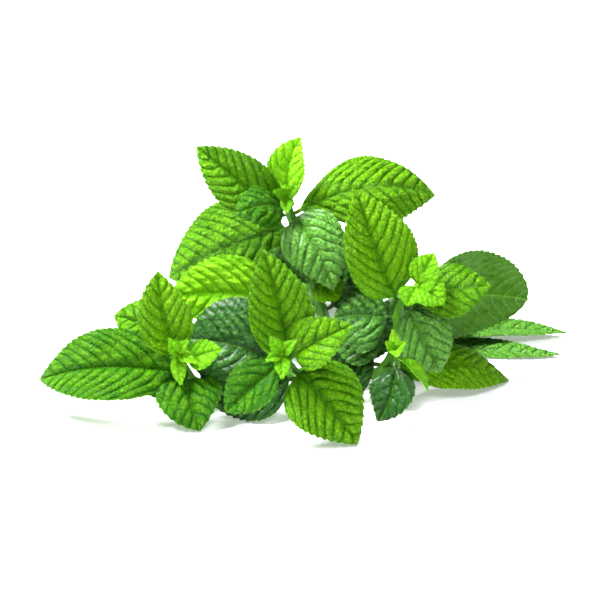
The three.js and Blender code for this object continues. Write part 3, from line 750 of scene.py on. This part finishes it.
def leaf_material(name, dull, lively_and_sheen, vein_and_shade_colour, under, see_through, shine, wax, crumple):
    """The look of leaves of one age. crumple is how deep its finest bumps are, in millimetres."""
    pale = [0.5 * c + 0.5 * p for c, p in zip(lively_and_sheen, (0.3, 0.55, 0.06))]
    n = Nodes(name)
    plan, vein, across, tone = n.vector("plan"), n.number("vein"), n.number("across"), n.number("tone")
    upper = n.number("upper")
    from_rib = n.math("ABSOLUTE", n.add("ShaderNodeSeparateXYZ", {0: plan}, out=1))
    frayed = n.math("MULTIPLY_ADD", n.noise(plan, 0.9), 0.16, n.math("ADD", vein, -0.08))
    off = n.math("ABSOLUTE", n.math("SUBTRACT", frayed, n.math("ROUND", frayed)))
    line = n.band(off, 0.1, 0.0)
    line = n.math("MULTIPLY", line, n.band(across, 1.0, 0.7))
    line = n.math("MULTIPLY", line, n.band(n.noise(plan, 0.3), 0.35, 0.6, 0.4, 1.0))
    rib = n.band(from_rib, 0.5, 0.15)
    net = n.add("ShaderNodeTexVoronoi", {"Vector": plan, "Scale": 0.75, "Randomness": 0.9},
                feature="DISTANCE_TO_EDGE")
    fine = n.band(net, 0.12, 0.0)
    coarse = n.add("ShaderNodeTexVoronoi", {"Vector": plan, "Scale": 0.42, "Randomness": 0.8},
                   feature="DISTANCE_TO_EDGE")
    finer = n.add("ShaderNodeTexVoronoi", {"Vector": plan, "Scale": 1.9}, feature="DISTANCE_TO_EDGE")
    patches = n.noise(plan, 0.12, 3)

    # Lighter on the puff tops and darker in the hollows between them: painted light and shade of the
    # relief. Each leaf's tone, partly its age and partly painted light, and soft random patches join in.
    puff_shading = n.math("MULTIPLY_ADD", n.number("puff"), 0.6, -0.27)
    patchy = n.math("MULTIPLY_ADD", n.math("SUBTRACT", patches, 0.5), 0.9, tone)
    freshness_and_shading = n.math("ADD", patchy, puff_shading, clamp=True)
    green = n.mix(freshness_and_shading, dull, lively_and_sheen)
    # Dark vein lines and a dark net of finer veins: painted shade of the sunken grooves.
    green = n.mix(n.math("MULTIPLY", line, VEIN_DARKNESS), green, vein_and_shade_colour)
    green = n.mix(n.math("MULTIPLY", fine, 0.4), green, vein_and_shade_colour)
    green = n.mix(n.math("MULTIPLY", rib, 0.35), green, pale)
    # A thin pale rim along the edge: a painted edge highlight.
    green = n.mix(n.band(across, 0.95, 1.0, 0, 0.35), green, pale)
    # Darker towards the stalk: painted shade where the leaf bases crowd together.
    green = n.mix(n.band(n.number("along"), 0.2, 0.0, 0, 0.6), green, vein_and_shade_colour)
    raised = n.math("MULTIPLY_ADD", line, 0.7, n.math("MULTIPLY", rib, 0.6), clamp=True)
    below = n.mix(raised, under, pale)
    below = n.mix(n.math("MULTIPLY", fine, 0.25), below, [min(1, 1.5 * c) for c in under])
    colour = n.mix(upper, below, green)

    height = n.math("MULTIPLY_ADD", line, -0.9, n.band(coarse, 0.0, 0.5, 0, 1.1))
    height = n.math("MULTIPLY_ADD", fine, -0.5, height)
    height = n.math("MULTIPLY_ADD", n.band(finer, 0.15, 0.0), -0.22, height)
    height = n.math("MULTIPLY_ADD", n.noise(plan, 3.0), 0.25, height)
    height = n.math("MULTIPLY", height, n.math("MULTIPLY_ADD", upper, 2.0, -1.0))
    bump = n.add("ShaderNodeBump", {"Height": height, "Strength": 0.9, "Distance": crumple * MM})
    rough = n.math("MULTIPLY_ADD", n.noise(plan, 0.6), 0.16, 0.38)
    rough = n.math("MULTIPLY_ADD", n.math("SUBTRACT", 1.0, upper), 0.25, rough)

    surface = n.add("ShaderNodeBsdfPrincipled", {
        "Base Color": colour, "Roughness": rough, "Normal": bump,
        "IOR": shine, "Specular Tint": REFLECTED_GREEN,
        "Coat Weight": wax, "Coat Roughness": WAX_ROUGHNESS, "Coat IOR": 1.45})
    glow = n.add("ShaderNodeBsdfTranslucent", {
        "Color": n.mix(0.6, colour, [min(1, 2.4 * c) for c in under]), "Normal": bump})
    both = n.add("ShaderNodeMixShader", {0: see_through, 1: surface, 2: glow})
    n.add("ShaderNodeOutputMaterial", {"Surface": both})
    return n.material


LEAF_LOOKS = {
    # The older leaves' lively colour is a pale bluish green: a painted sheen on their puffs.
    "mature_leaf": leaf_material(
        "older mint leaf", (0.012, 0.08, 0.002), (0.125, 0.36, 0.035), (0.005, 0.035, 0.002),
        (0.06, 0.2, 0.0005), 0.2, 1.4, 0.25, 0.9),
    "young_leaf": leaf_material(
        "young mint leaf", (0.03, 0.14, 0.001), (0.17, 0.43, 0.002), (0.01, 0.08, 0.001),
        (0.12, 0.32, 0.002), 0.27, 1.3, 0.04, 1.0),
    "tip_leaf": leaf_material(
        "opening mint leaf", (0.06, 0.25, 0.002), (0.25, 0.57, 0.01), (0.04, 0.2, 0.002),
        (0.22, 0.48, 0.01), 0.35, 1.3, 0.0, 0.4),
}

for name, piece in pieces.items():
    if name in LEAVES:
        piece.data.materials.append(LEAF_LOOKS[LEAVES[name]["slot"]])
    elif name.endswith("tip_leaves"):
        piece.data.materials.append(LEAF_LOOKS["tip_leaf"])
print("Made", len(LEAF_LOOKS), "leaf materials")

# %% [markdown]
# Mint stems are a duller green than the leaves, flecked with a lighter green.

# %% Stem material
n = Nodes("mint stem")
where = n.add("ShaderNodeTexCoord", out=3)
soft = n.noise(where, 60, 3)
speckle = n.noise(where, 900, 2)
stem_green = n.mix(soft, (0.025, 0.11, 0.002), (0.06, 0.2, 0.004))
stem_green = n.mix(n.band(speckle, 0.55, 0.75, 0, 0.3), stem_green, (0.12, 0.26, 0.02))
stem_bump = n.add("ShaderNodeBump", {"Height": speckle, "Strength": 0.3, "Distance": 0.2 * MM})
stem_surface = n.add("ShaderNodeBsdfPrincipled", {
    "Base Color": stem_green, "Roughness": n.math("MULTIPLY_ADD", soft, 0.15, 0.36), "Normal": stem_bump,
    "IOR": 1.33, "Specular Tint": REFLECTED_GREEN})
n.add("ShaderNodeOutputMaterial", {"Surface": stem_surface})
for name, piece in pieces.items():
    if name.endswith("_stem"):
        piece.data.materials.append(n.material)
print("Made the stem material")

# %% [markdown]
# The photo was taken on a white sweep under big soft lights, so the floor is nearly white, its
# shadows are faint, and the leaves that face up carry broad pale highlights. A slight glow of the
# floor's own keeps it white right up to the leaves.

# %% Floor and light
FLOOR_REACH = 6.0
FLOOR_GLOW = 0.3
ROOM_BRIGHTNESS = 0.22

floor_mesh = bpy.data.meshes.new("floor")
corners = [(x * FLOOR_REACH, y * FLOOR_REACH, 0) for x, y in ((-1, -1), (1, -1), (1, 1), (-1, 1))]
floor_mesh.from_pydata(corners, [], [(0, 1, 2, 3)])
floor = bpy.data.objects.new("floor", floor_mesh)
bpy.context.scene.collection.objects.link(floor)
n = Nodes("white sweep")
n.add("ShaderNodeOutputMaterial", {"Surface": n.add("ShaderNodeBsdfPrincipled", {
    "Base Color": (0.93, 0.93, 0.93), "Roughness": 0.7, "Specular IOR Level": 0.1,
    "Emission Color": (1, 1, 1), "Emission Strength": FLOOR_GLOW})})
floor_mesh.materials.append(n.material)

world = bpy.data.worlds.new("soft white room")
world.use_nodes = True
world.node_tree.nodes["Background"].inputs["Color"].default_value = (1, 1, 1, 1)
world.node_tree.nodes["Background"].inputs["Strength"].default_value = ROOM_BRIGHTNESS
bpy.context.scene.world = world


def soft_light(name, place, aim, size, power, colour):
    """A round soft light at place, turned towards aim."""
    light = bpy.data.objects.new(name, bpy.data.lights.new(name, "AREA"))
    light.data.shape = "DISK"
    light.data.size = size
    light.data.energy = power
    light.data.color = colour
    light.location = place
    away = np.array(place) - np.array(aim)
    tilt = math.acos(away[2] / np.linalg.norm(away))
    turn = math.atan2(away[1], away[0]) + math.pi / 2
    light.rotation_euler = (tilt, 0, turn)
    bpy.context.scene.collection.objects.link(light)


soft_light("overhead softbox", place=(-0.4, 0.06, 0.72), aim=(0, 0, 0.04), size=0.32, power=34,
           colour=(0.97, 0.99, 1))
soft_light("front softbox", place=(0.1, -0.6, 0.75), aim=(0, 0, 0.05), size=0.35, power=7,
           colour=(0.95, 0.98, 1))
bpy.context.scene.view_settings.view_transform = "Standard"
print("The floor is", 2 * FLOOR_REACH, "metres wide, under a white room and two soft lights")
